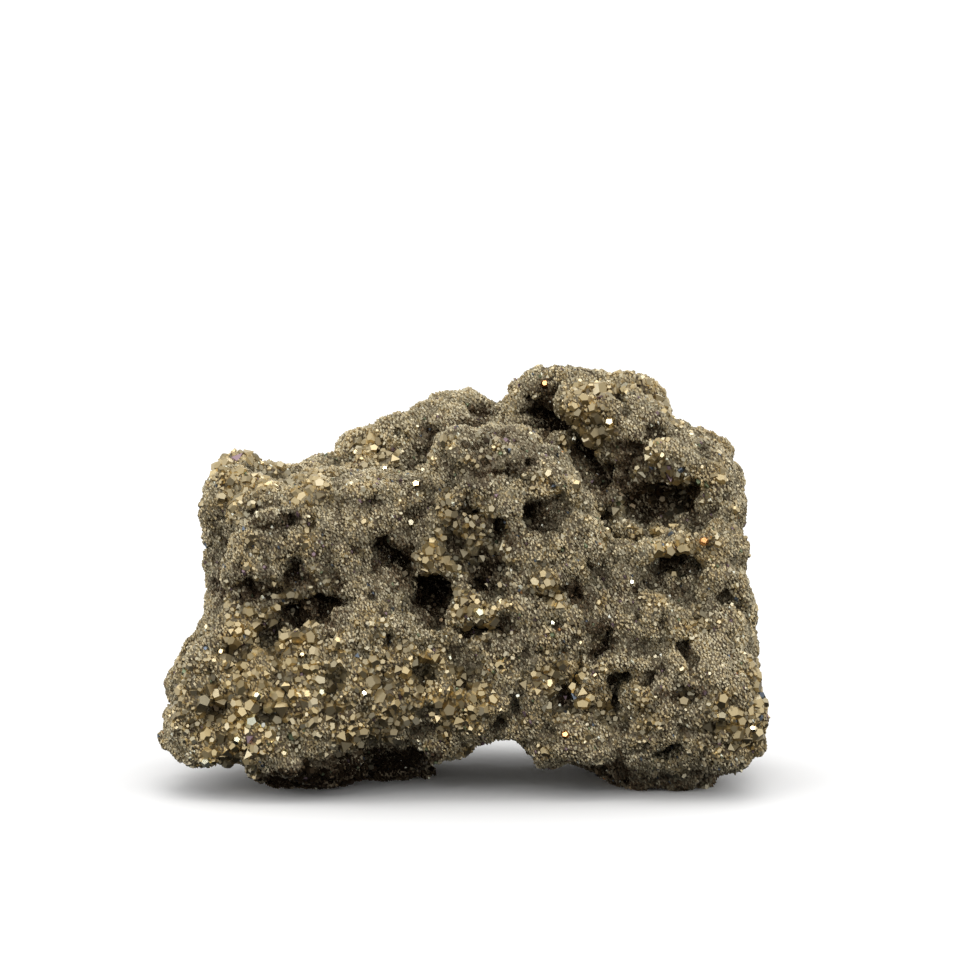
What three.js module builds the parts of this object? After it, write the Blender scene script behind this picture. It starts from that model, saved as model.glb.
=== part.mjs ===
// A hand specimen of granular pyrite: one intergrown lump of small crystals.
//
// The lump is described as a distance field. Rounded blocks are melted together,
// a gentle unevenness is added, pockets are pressed in, and whatever would reach
// below the ground is left off, which gives the feet the flat patches that the
// specimen rests on. A grid walk then turns the field into one closed mesh.
//
// Millimetres. +X to the right along the length, +Y to the back, +Z up.
// The origin is the middle of the ground rectangle that the specimen covers.

import * as THREE from 'three';

// ---------------------------------------------------------------- dimensions

const LENGTH = 69.2; // along X
const DEPTH = 43.0; // along Y
const HEIGHT = 46.9; // along Z

const GRID = 2.15; // spacing of the sampling grid
const MELT = 2.6; // how far two neighbouring blocks flow together
const POCKET_EDGE = 1.0; // rounding where a pocket meets the outside
const PINCH_CLEARANCE = 0.3; // how far the skin keeps off an opened pinch
const SWELL = { size: 8.5, depth: 1.3 }; // slow bulges of the surface
const KNOBS = { size: 4.8, depth: 0.95 }; // smaller knobs on top of them

const ARCH = { left: -1.6, right: 8.2, roof: 5.2 }; // passage between the feet
const ARCH_SKIRT = { left: 4.0, right: 15.5, roof: 2.0 }; // its low right edge
const PASSAGE_ROUNDING = 0.45; // corner radius of a passage, as a share of its roof height

// ------------------------------------------------------------- solid lumps
// centre, half sizes and corner radius of each block, and its turn in degrees
// about Z (yaw), Y (roll) and X (pitch)

const BLOCKS = [
  // the trunk that everything grows on
  { name: 'trunk', at: [1.1, 3, 20.5], half: [27.3, 16, 14.5], round: 9 },
  { name: 'back_wall', at: [4.2, 11, 20.5], half: [25.2, 9.4, 14.5], round: 7, yaw: -5 },

  // left half
  { name: 'left_wall', at: [-14.6, -3, 22], half: [12.6, 14.2, 13.6], round: 5.5, yaw: 4 },
  { name: 'left_toe', at: [-21.6, -7, 9.2], half: [12, 12.2, 7.0], round: 4, roll: 18 },
  { name: 'left_foot', at: [-11.1, 2, 3.4], half: [9.2, 9.5, 5.0], round: 3.2 },
  { name: 'left_knob', at: [-25.6, -5, 33.8], half: [3.2, 3.8, 3.2], round: 2.8 },
  { name: 'left_crest', at: [-21, -4, 33.4], half: [6.9, 5.5, 3.4], round: 2.8 },
  { name: 'left_back', at: [-18.9, 9, 17.5], half: [11, 9, 13.5], round: 7, yaw: 18 },

  // middle
  { name: 'belly', at: [-1.1, -10, 17], half: [15.8, 9.5, 10.5], round: 7 },
  { name: 'ridge', at: [3.2, -9.5, 31.4], half: [7.1, 7.6, 10.2], round: 5, roll: 3 },
  { name: 'ridge_shoulder', at: [9.9, -10.5, 28], half: [6.9, 7.2, 9.6], round: 5.5, roll: -24 },
  { name: 'back_lobe', at: [-2.5, 13, 32.4], half: [8.8, 7.8, 10.8], round: 5.5, yaw: 10 },
  { name: 'back_step', at: [-10.4, 12, 26.6], half: [6.2, 7.5, 10.2], round: 5, roll: 10 },

  // right half
  { name: 'summit', at: [14.3, 5, 34.8], half: [10.3, 11.5, 11.6], round: 6 },
  { name: 'summit_knob', at: [11.1, 0, 43.6], half: [4, 4.0, 2.8], round: 2.8 },
  { name: 'shoulder', at: [23.7, 3, 29.6], half: [8.2, 12.5, 10.4], round: 5, roll: 8 },
  { name: 'right_wall', at: [21.4, -2, 17], half: [12.2, 14.5, 13.4], round: 6.5, roll: -3 },
  { name: 'right_apron', at: [21.4, -9.5, 9.6], half: [13, 9.8, 7.4], round: 5, roll: -4 },
  { name: 'right_foot', at: [23.5, -9.5, 2.6], half: [6.3, 5.2, 4.0], round: 2.6 },
  { name: 'back_foot', at: [21, 11.5, 3.6], half: [6.8, 5.5, 5.2], round: 3.2 },
  { name: 'right_sole', at: [21.5, 1, 6.2], half: [9.5, 11, 4.6], round: 3 },
];

// ----------------------------------------------------------------- pockets
// centre and radii of each hollow

const POCKETS = [
  // front, left to right
  { name: 'left_vug', at: [-20.6, -18.0, 19.4], radii: [3.0, 4.4, 2.4] },
  { name: 'left_vug_upper', at: [-15.8, -18.0, 21.8], radii: [2.6, 3.8, 2.2] },
  { name: 'main_vug', at: [-3.6, -19.5, 22.0], radii: [3.2, 7.0, 3.2] },
  { name: 'main_vug_gully', at: [-7.6, -18.4, 26.4], radii: [3.0, 4.2, 3.8] },
  { name: 'ridge_vug', at: [9.5, -18.4, 31.4], radii: [2.6, 4.6, 2.8] },
  { name: 'right_vug', at: [23.5, -16.8, 24.4], radii: [4.6, 5.0, 2.5] },
  { name: 'apron_vug', at: [17.6, -19.6, 11.0], radii: [2.6, 4.2, 2.8] },
  { name: 'foot_vug', at: [23.9, -19.4, 4.4], radii: [2.6, 4.0, 2.2] },

  // the valley between the ridge and the summit, from the top to the front face
  { name: 'valley_top', at: [8, -1.8, 44.0], radii: [3.4, 3.6, 6.0] },
  { name: 'valley_middle', at: [13.9, -5.6, 38.0], radii: [3.6, 3.8, 5.0] },
  { name: 'valley_mouth', at: [20.6, -12.6, 31.6], radii: [6.2, 5.6, 3.2] },

  // the dip between the left crest, the ridge and the back lobe
  { name: 'saddle', at: [-10, 1.5, 40.5], radii: [8.5, 6.0, 5.8] },

  // sides, back and top
  { name: 'left_waist', at: [-34.6, 0, 21], radii: [4.2, 9.0, 6.0] },
  { name: 'left_side_vug', at: [-32, 7, 27], radii: [4.2, 3.2, 3.0] },
  { name: 'right_side_vug', at: [35.3, 5, 25], radii: [4.4, 3.6, 3.0] },
  { name: 'right_side_gully', at: [37.4, -4, 13.5], radii: [3.2, 6.0, 2.4] },
  { name: 'back_vug', at: [-3.2, 24.5, 21.5], radii: [3.8, 5.6, 3.4] },
  { name: 'back_vug_right', at: [16.8, 24.0, 29], radii: [4.6, 5.0, 3.0] },
  { name: 'back_gully', at: [8.9, 24, 12], radii: [3.2, 4.6, 5.0] },
  { name: 'top_vug', at: [19.4, 9, 48], radii: [3.2, 3.2, 4.2] },
];

// --------------------------------------------------------- field arithmetic

const degrees = THREE.MathUtils.degToRad;

// Two distances flow into each other over the width `soft`.
function meltTogether(a, b, soft) {
  const h = Math.max(soft - Math.abs(a - b), 0) / soft;
  return Math.min(a, b) - h * h * soft * 0.25;
}

// Distance to a block with rounded corners, turned by its own yaw, pitch and roll.
function blockField(block) {
  const centre = new THREE.Vector3(...block.at);
  const core = new THREE.Vector3(...block.half).subScalar(block.round);
  const turn = new THREE.Euler(
    degrees(block.pitch ?? 0),
    degrees(block.roll ?? 0),
    degrees(block.yaw ?? 0),
  );
  const unturn = new THREE.Quaternion().setFromEuler(turn).invert();
  const local = new THREE.Vector3();
  const outside = new THREE.Vector3();

  return (point) => {
    local.copy(point).sub(centre).applyQuaternion(unturn);
    const x = Math.abs(local.x) - core.x;
    const y = Math.abs(local.y) - core.y;
    const z = Math.abs(local.z) - core.z;
    outside.set(Math.max(x, 0), Math.max(y, 0), Math.max(z, 0));
    return outside.length() + Math.min(Math.max(x, y, z), 0) - block.round;
  };
}

// Nearly the distance to an ellipsoid: exact on its skin, fair around it.
function pocketField(pocket) {
  const centre = new THREE.Vector3(...pocket.at);
  const radii = new THREE.Vector3(...pocket.radii);
  const scaled = new THREE.Vector3();
  const scaledTwice = new THREE.Vector3();

  return (point) => {
    scaled.copy(point).sub(centre).divide(radii);
    scaledTwice.copy(scaled).divide(radii);
    const reach = scaled.length();
    return (reach * (reach - 1)) / Math.max(scaledTwice.length(), 1e-6);
  };
}

// A passage along the whole of Y, with a flat roof and rounded upper corners.
function passageField({ left, right, roof }) {
  const middle = (left + right) / 2;
  const round = roof * PASSAGE_ROUNDING;
  const halfWidth = (right - left) / 2 - round;
  const height = roof - round;

  return (point) => {
    const x = Math.max(Math.abs(point.x - middle) - halfWidth, 0);
    const z = Math.max(point.z - height, 0);
    return Math.hypot(x, z) - round;
  };
}

// Repeatable pseudo-random value, 0 to 1, for each corner of a unit lattice.
function latticeValue(i, j, k) {
  let hash = Math.imul(i, 73856093) ^ Math.imul(j, 19349663) ^ Math.imul(k, 83492791);
  hash = Math.imul(hash ^ (hash >>> 13), 1274126177);
  hash ^= hash >>> 16;
  return (hash >>> 0) / 4294967295;
}

// Smooth unevenness, -1 to 1, whose bumps are about `size` apart.
function unevenness(point, size) {
  const [x, y, z] = [point.x / size, point.y / size, point.z / size];
  const [i, j, k] = [Math.floor(x), Math.floor(y), Math.floor(z)];
  const ease = (t) => t * t * (3 - 2 * t);
  const [u, v, w] = [ease(x - i), ease(y - j), ease(z - k)];

  let sum = 0;
  for (const [di, dj, dk] of CELL_CORNERS) {
    const weight = (di ? u : 1 - u) * (dj ? v : 1 - v) * (dk ? w : 1 - w);
    sum += weight * latticeValue(i + di, j + dj, k + dk);
  }
  return 2 * sum - 1;
}

// ------------------------------------------------------------ the whole lump

const blocks = BLOCKS.map(blockField);
const pockets = POCKETS.map(pocketField);
const passages = [ARCH, ARCH_SKIRT].map(passageField);

function lumpField(point) {
  let solid = Infinity;
  for (const block of blocks) {
    solid = solid === Infinity ? block(point) : meltTogether(solid, block(point), MELT);
  }
  solid -= SWELL.depth * unevenness(point, SWELL.size);
  solid -= KNOBS.depth * unevenness(point, KNOBS.size);

  // Cutting is joining turned inside out.
  for (const hollow of [...pockets, ...passages]) {
    solid = -meltTogether(-solid, hollow(point), POCKET_EDGE);
  }

  // Nothing reaches below the ground, so each foot ends in a flat patch.
  return Math.max(solid, -point.z);
}

// ----------------------------------------------- from the field to a mesh

// Walks a cubic grid. Each cell that the skin passes through gets one corner of
// the mesh, at the mean of the places where its edges are crossed, and each
// crossed grid edge gets one four-sided face between the cells around it.
function meshFromField(field, low, high, spacing) {
  const count = high.clone().sub(low).divideScalar(spacing).ceil().addScalar(1);
  const [nx, ny, nz] = count.toArray();
  const nodeIndex = (i, j, k) => i + nx * (j + ny * k);
  const place = (i, j, k) => new THREE.Vector3(i, j, k).multiplyScalar(spacing).add(low);

  const values = new Float64Array(nx * ny * nz);
  for (let k = 0; k < nz; k += 1) {
    for (let j = 0; j < ny; j += 1) {
      for (let i = 0; i < nx; i += 1) {
        values[nodeIndex(i, j, k)] = field(place(i, j, k));
      }
    }
  }
  openPinches(values, [nx, ny, nz], nodeIndex);

  const positions = [];
  const cornerOfCell = new Map();
  for (let k = 0; k < nz - 1; k += 1) {
    for (let j = 0; j < ny - 1; j += 1) {
      for (let i = 0; i < nx - 1; i += 1) {
        const sum = new THREE.Vector3();
        let crossings = 0;
        for (const [a, b] of CELL_EDGES) {
          const va = values[nodeIndex(i + a[0], j + a[1], k + a[2])];
          const vb = values[nodeIndex(i + b[0], j + b[1], k + b[2])];
          if (va < 0 !== vb < 0) {
            const from = place(i + a[0], j + a[1], k + a[2]);
            const to = place(i + b[0], j + b[1], k + b[2]);
            sum.add(from.lerp(to, va / (va - vb)));
            crossings += 1;
          }
        }
        if (crossings > 0) {
          cornerOfCell.set(nodeIndex(i, j, k), positions.length / 3);
          positions.push(...sum.divideScalar(crossings).toArray());
        }
      }
    }
  }

  const triangles = [];
  const addFace = (cells, flip) => {
    const [a, b, c, d] = cells.map((cell) => cornerOfCell.get(nodeIndex(...cell)));
    triangles.push(...(flip ? [a, b, c, a, c, d] : [a, c, b, a, d, c]));
  };
  for (let k = 1; k < nz - 1; k += 1) {
    for (let j = 1; j < ny - 1; j += 1) {
      for (let i = 1; i < nx - 1; i += 1) {
        const inside = values[nodeIndex(i, j, k)] < 0;
        if (inside !== values[nodeIndex(i + 1, j, k)] < 0) {
          addFace([[i, j - 1, k - 1], [i, j, k - 1], [i, j, k], [i, j - 1, k]], inside);
        }
        if (inside !== values[nodeIndex(i, j + 1, k)] < 0) {
          addFace([[i - 1, j, k - 1], [i - 1, j, k], [i, j, k], [i, j, k - 1]], inside);
        }
        if (inside !== values[nodeIndex(i, j, k + 1)] < 0) {
          addFace([[i - 1, j - 1, k], [i, j - 1, k], [i, j, k], [i - 1, j, k]], inside);
        }
      }
    }
  }

  const geometry = new THREE.BufferGeometry();
  geometry.setAttribute('position', new THREE.Float32BufferAttribute(positions, 3));
  geometry.setIndex(triangles);
  return geometry;
}

// Where two sheets of the skin would share one cell, its weakest grid node is
// given to the outside, so that the mesh stays a closed skin with no pinch.
function openPinches(values, [nx, ny, nz], nodeIndex) {
  let pinches = 1;
  while (pinches > 0) {
    pinches = 0;
    for (let k = 0; k < nz - 1; k += 1) {
      for (let j = 0; j < ny - 1; j += 1) {
        for (let i = 0; i < nx - 1; i += 1) {
          const nodes = CELL_CORNERS.map(([di, dj, dk]) => nodeIndex(i + di, j + dj, k + dk));
          const inside = nodes.map((node) => values[node] < 0);
          if (!hangsTogether(inside, true) || !hangsTogether(inside, false)) {
            const solidNodes = nodes.filter((node) => values[node] < 0);
            const weakest = solidNodes.reduce((a, b) => (values[a] > values[b] ? a : b));
            values[weakest] = PINCH_CLEARANCE;
            pinches += 1;
          }
        }
      }
    }
  }
}

// Whether the cell corners that are (or aren't) inside reach each other along edges.
function hangsTogether(inside, wanted) {
  const members = inside.flatMap((state, corner) => (state === wanted ? [corner] : []));
  const reached = new Set(members.slice(0, 1));
  for (const corner of reached) {
    for (const bit of [1, 2, 4]) {
      if (inside[corner ^ bit] === wanted) {
        reached.add(corner ^ bit);
      }
    }
  }
  return reached.size === members.length;
}

const CELL_CORNERS = [0, 1, 2, 3, 4, 5, 6, 7].map((n) => [n & 1, (n >> 1) & 1, (n >> 2) & 1]);

const CELL_EDGES = [
  [[0, 0, 0], [1, 0, 0]], [[0, 1, 0], [1, 1, 0]], [[0, 0, 1], [1, 0, 1]], [[0, 1, 1], [1, 1, 1]],
  [[0, 0, 0], [0, 1, 0]], [[1, 0, 0], [1, 1, 0]], [[0, 0, 1], [0, 1, 1]], [[1, 0, 1], [1, 1, 1]],
  [[0, 0, 0], [0, 0, 1]], [[1, 0, 0], [1, 0, 1]], [[0, 1, 0], [0, 1, 1]], [[1, 1, 0], [1, 1, 1]],
];

// ------------------------------------------------------------------ fitting

// Stretches the lump by the last per cent or so to its stated size, and sets
// the middle of its ground rectangle on the origin.
function fitToSize(geometry) {
  geometry.computeBoundingBox();
  const box = geometry.boundingBox;
  const size = box.getSize(new THREE.Vector3());
  const centre = box.getCenter(new THREE.Vector3());
  geometry.translate(-centre.x, -centre.y, 0);
  geometry.scale(LENGTH / size.x, DEPTH / size.y, HEIGHT / size.z);
  return geometry;
}

// -------------------------------------------------------------- the specimen

function pyriteMass() {
  const margin = 3 * GRID;
  const low = new THREE.Vector3(-LENGTH / 2, -DEPTH / 2, 0).subScalar(margin);
  const high = new THREE.Vector3(LENGTH / 2, DEPTH / 2, HEIGHT).addScalar(margin);
  const geometry = fitToSize(meshFromField(lumpField, low, high, GRID));
  geometry.computeVertexNormals();

  const pyrite = new THREE.MeshStandardMaterial({
    color: 0x8f8362,
    roughness: 0.45,
    metalness: 0.9,
  });
  const mesh = new THREE.Mesh(geometry, pyrite);
  mesh.name = 'pyrite_mass';
  return mesh;
}

const specimen = new THREE.Group();
specimen.add(pyriteMass());

export default specimen;
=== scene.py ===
# %% [markdown]
# # A hand specimen of granular pyrite
# Pyrite that filled an open space in the rock grows as a crust of small crystals.
# This lump is such a crust all through: one intergrown mass, fine and sugary in some
# places, coarse and brassy in others, with pockets where nothing had room to grow.
# The design frame already holds the lump as one plain solid. Everything below keeps
# that shape and size, and gives it the surface that the real mineral has.

import math

import bpy
import numpy as np
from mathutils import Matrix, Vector
from mathutils.bvhtree import BVHTree


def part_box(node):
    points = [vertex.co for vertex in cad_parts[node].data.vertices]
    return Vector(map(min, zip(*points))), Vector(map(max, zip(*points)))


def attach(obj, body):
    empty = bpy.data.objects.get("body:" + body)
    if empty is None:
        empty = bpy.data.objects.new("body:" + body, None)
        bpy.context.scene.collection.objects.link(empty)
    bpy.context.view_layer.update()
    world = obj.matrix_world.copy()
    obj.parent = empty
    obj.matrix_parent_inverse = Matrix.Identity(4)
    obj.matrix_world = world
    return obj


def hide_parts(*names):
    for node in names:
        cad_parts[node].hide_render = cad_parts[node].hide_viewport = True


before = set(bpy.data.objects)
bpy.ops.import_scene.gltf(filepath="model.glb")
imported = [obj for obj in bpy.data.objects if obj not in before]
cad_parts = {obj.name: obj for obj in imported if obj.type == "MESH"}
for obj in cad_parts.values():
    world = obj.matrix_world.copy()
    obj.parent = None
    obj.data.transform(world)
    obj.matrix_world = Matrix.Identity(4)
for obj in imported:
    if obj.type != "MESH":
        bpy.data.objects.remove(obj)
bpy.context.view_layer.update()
mass_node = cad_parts["pyrite_mass"]
print("frame holds", list(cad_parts), "with", len(mass_node.data.vertices), "corners")

# %% [markdown]
# ## Measures
# All sizes are metres, so a millimetre gets a short name. Places on the lump are given
# as shares of its box: 0 to 1 from left to right, from front to back and from the
# ground to the top. The same list then fits the lump if its size ever changes.

# %% Measures and places
MM = 0.001
put_in_scene = bpy.context.scene.collection.objects.link
LOW, HIGH = (np.array(corner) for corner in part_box("pyrite_mass"))
SPAN = HIGH - LOW


def place(shares):
    """A point in metres from its shares of the lump's box."""
    return LOW + SPAN * np.array(shares)


print("the lump is", [round(side / MM, 1) for side in SPAN], "mm")

# %% [markdown]
# ## Unevenness
# Natural surfaces are uneven at several scales at once. A cloud drifts up and down
# without edges. A nodule pattern is a field of round knobs with sharp creases, like the
# head of a cauliflower, which is how grains of pyrite cluster. Both come from a table of
# fixed random numbers, so each run gives the same stone.

# %% Cloud and nodule patterns
rng = np.random.default_rng(271)
TABLE_SIDE = 64
random_table = rng.random((TABLE_SIDE, TABLE_SIDE, TABLE_SIDE, 4))


def table_at(cells):
    """Four fixed random numbers for each lattice cell."""
    i, j, k = (cells % TABLE_SIDE).T
    return random_table[i, j, k]


def cloud(points, size, shift=0):
    """Smooth noise from -1 to 1 whose bumps are about `size` apart."""
    scaled = points / size + shift
    cells = np.floor(scaled).astype(int)
    part = scaled - cells
    part = part * part * (3 - 2 * part)
    total = np.zeros(len(points))
    for corner in np.ndindex(2, 2, 2):
        weight = np.prod(np.where(corner, part, 1 - part), axis=1)
        total += weight * table_at(cells + np.array(corner))[:, 3]
    return 2 * total - 1


def nearest_seed(points, size, shift=0):
    """Distance to the nearest scattered seed, in units of `size`, and its own random number."""
    scaled = points / size + shift
    cells = np.floor(scaled).astype(int)
    best = np.full(len(points), np.inf)
    label = np.zeros(len(points))
    for corner in np.ndindex(3, 3, 3):
        near = cells + np.array(corner) - 1
        numbers = table_at(near)
        distance = np.linalg.norm(near + numbers[:, :3] - scaled, axis=1)
        closer = distance < best
        best = np.where(closer, distance, best)
        label = np.where(closer, numbers[:, 3], label)
    return best, label


def nodules(points, size, shift=0):
    """Round knobs, 1 at the crown and falling to 0 in the creases."""
    distance, _ = nearest_seed(points, size, shift)
    return np.sqrt(np.clip(1 - (distance / 0.9) ** 2, 0, 1))


def meandering(points, size, reach, shift=0):
    """The points moved up to `reach` by a cloud, so that a pattern laid on them meanders."""
    drift = [cloud(points, size, shift + step) for step in (0.3, 6.1, 9.7)]
    return points + reach * np.stack(drift, axis=1)


# %% [markdown]
# ## The body of the lump
# The plain solid has facets two millimetres wide. A voxel remesh turns a copy of it
# into an even net of small squares, and a light smoothing takes the facets away. The
# squares later are the ground that crystals grow on, so they have to be even.

# %% Remesh a copy of the frame's solid
NET = 0.45 * MM
NET_SOFTNESS = 0.8
GROUND_GAP = 0.1 * MM


def even_net(piece, smoothing):
    """Replaces the piece's mesh with an even, smoothed net of small squares."""
    remesh = piece.modifiers.new("even net", "REMESH")
    remesh.mode = "VOXEL"
    remesh.voxel_size = NET
    soften = piece.modifiers.new("soften facets", "SMOOTH")
    soften.iterations = smoothing
    soften.factor = NET_SOFTNESS
    evaluated = piece.evaluated_get(bpy.context.evaluated_depsgraph_get())
    piece.data = bpy.data.meshes.new_from_object(evaluated)
    piece.data.name = piece.name
    piece.modifiers.clear()


def corners_and_normals(mesh):
    """The mesh's vertex places and smooth normals as arrays."""
    count = len(mesh.vertices)
    places = np.empty(count * 3, np.float32)
    normals = np.empty(count * 3, np.float32)
    mesh.vertices.foreach_get("co", places)
    mesh.vertex_normals.foreach_get("vector", normals)
    return places.reshape(-1, 3).astype(float), normals.reshape(-1, 3).astype(float)


def set_corners(mesh, places):
    """Moves the mesh's vertices, none of them below the ground."""
    places[:, 2] = np.maximum(places[:, 2], LOW[2] + GROUND_GAP)
    mesh.vertices.foreach_set("co", places.astype(np.float32).ravel())
    mesh.update()


body = bpy.data.objects.new("granular_body", mass_node.data.copy())
put_in_scene(body)
even_net(body, smoothing=3)
print("the net has", len(body.data.polygons), "squares")

# %% [markdown]
# ## Pulling the outline into shape
# The frame's solid is plain, and its outline is only near the real one. A sculptor's
# grab brush corrects it: everything within a ball follows a short pull, most in the
# middle and less towards the edge. Each pull has a name, and none is longer than 5 mm.

# %% Grab and pull
# share of the box across, to the back and upwards; radius mm; pull in mm
PULLS = {
    "toe_top": ((0.020, 0.16, 0.310), 8.0, (2.6, 0, -0.6)),
    "toe_tip": ((0.030, 0.25, 0.090), 5.0, (-1.8, 0, -0.3)),
    "toe_under": ((0.070, 0.24, 0.040), 5.5, (1.2, 0, 3.2)),
    "wall_foot": ((0.040, 0.62, 0.430), 9.0, (1.8, 0, 0)),
    "wall_front": ((0.060, 0.20, 0.420), 6.0, (1.4, 0, 0)),
    "toe_flank": ((0.010, 0.25, 0.262), 9.0, (1.3, 0, 0)),
    "toe_fill": ((0.150, 0.22, 0.050), 5.0, (0, 0, -1.4)),
    "foot_end": ((0.430, 0.20, 0.050), 7.0, (2.2, 0, -1.4)),
    "foot_heel": ((0.465, 0.20, 0.025), 4.5, (1.8, 0, -0.2)),
    "foot_gap": ((0.535, 0.17, 0.030), 4.0, (0, 0, 2.0)),
    "corner": ((0.081, 0.41, 0.768), 4.5, (1.2, 0, -0.8)),
    "crest": ((0.211, 0.41, 0.789), 6.5, (0, 0, -2.6)),
    "lobe_shoulder": ((0.370, 0.82, 0.900), 6.5, (0, 0, -3.0)),
    "lobe_foot": ((0.305, 0.75, 0.800), 3.5, (-0.8, 0, 0.9)),
    "lobe_top": ((0.442, 0.83, 0.928), 4.5, (-0.5, 0, 0.5)),
    "summit_gap": ((0.560, 0.70, 0.970), 6.0, (0, 0, -3.6)),
    "summit_start": ((0.584, 0.70, 0.964), 3.2, (0.6, 0, -1.4)),
    "summit_slope": ((0.880, 0.47, 0.930), 7.5, (-1.0, 0, -2.8)),
    "shoulder": ((0.960, 0.40, 0.810), 4.0, (0, 0, -1.8)),
    "right_waist": ((0.995, 0.37, 0.520), 9.0, (-5.0, 0, 0)),
    "right_notch": ((0.990, 0.50, 0.310), 5.0, (-1.6, 0, 0)),
    "right_side": ((0.990, 0.25, 0.280), 8.0, (-1.2, 0, 0)),
    "right_toe": ((0.980, 0.31, 0.085), 4.5, (0.8, 0, 1.4)),
    "arch_left": ((0.480, 0.17, 0.117), 5.0, (0, 0, -1.8)),
    "arch_right": ((0.637, 0.17, 0.102), 4.0, (0, 0, -1.2)),
    "arch_slope": ((0.690, 0.12, 0.000), 7.0, (0, 0, 2.6)),
}

places, _ = corners_and_normals(body.data)
for centre, radius, pull in PULLS.values():
    offset = (places - place(centre)) / (radius * MM)
    hold = np.clip(1 - (offset ** 2).sum(axis=1), 0, 1) ** 1.5
    places += hold[:, None] * np.array(pull) * MM
set_corners(body.data, places)
print(len(PULLS), "pulls made")

# %% [markdown]
# ## The undercut foot
# The lump stands on a narrower patch than it seems to, with a dark gap round its foot.
# So the lowest millimetres move inward, most at the ground, and less near the arch,
# where the ends of the feet would be worn down to thin fins.

# %% Undercut the foot
UNDERCUT_HEIGHT = 4.0 * MM
UNDERCUT_REACH = 4.5 * MM
UNDERCUT_CURVE = 1.3
ARCH_MIDDLE = 4.0 * MM
ARCH_FEET = 14.0 * MM
ARCH_SHARE = 0.15
places, normals = corners_and_normals(body.data)
low = np.clip(1 - (places[:, 2] - LOW[2]) / UNDERCUT_HEIGHT, 0, 1)
low *= np.clip(np.abs(places[:, 0] - ARCH_MIDDLE) / ARCH_FEET, ARCH_SHARE, 1)
places[:, :2] -= normals[:, :2] * (UNDERCUT_REACH * low ** UNDERCUT_CURVE)[:, None]
set_corners(body.data, places)
print("the foot is undercut by up to", round(UNDERCUT_REACH * low.max() / MM, 1), "mm")

# %% [markdown]
# ## Hollows and knobs
# The frame carries the large forms. The craggy relief of the mineral is modelled here,
# as a sculptor would, by pushing the net in and out. On the front each hollow and knob
# that stands out has a name, a place, a width, a height, a turn and a depth. A hollow
# is an ellipse, steepest at its rim, and its outline is frayed by the same meander that
# the crusts have, because a vug is the gap that they left and not a dent.

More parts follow.
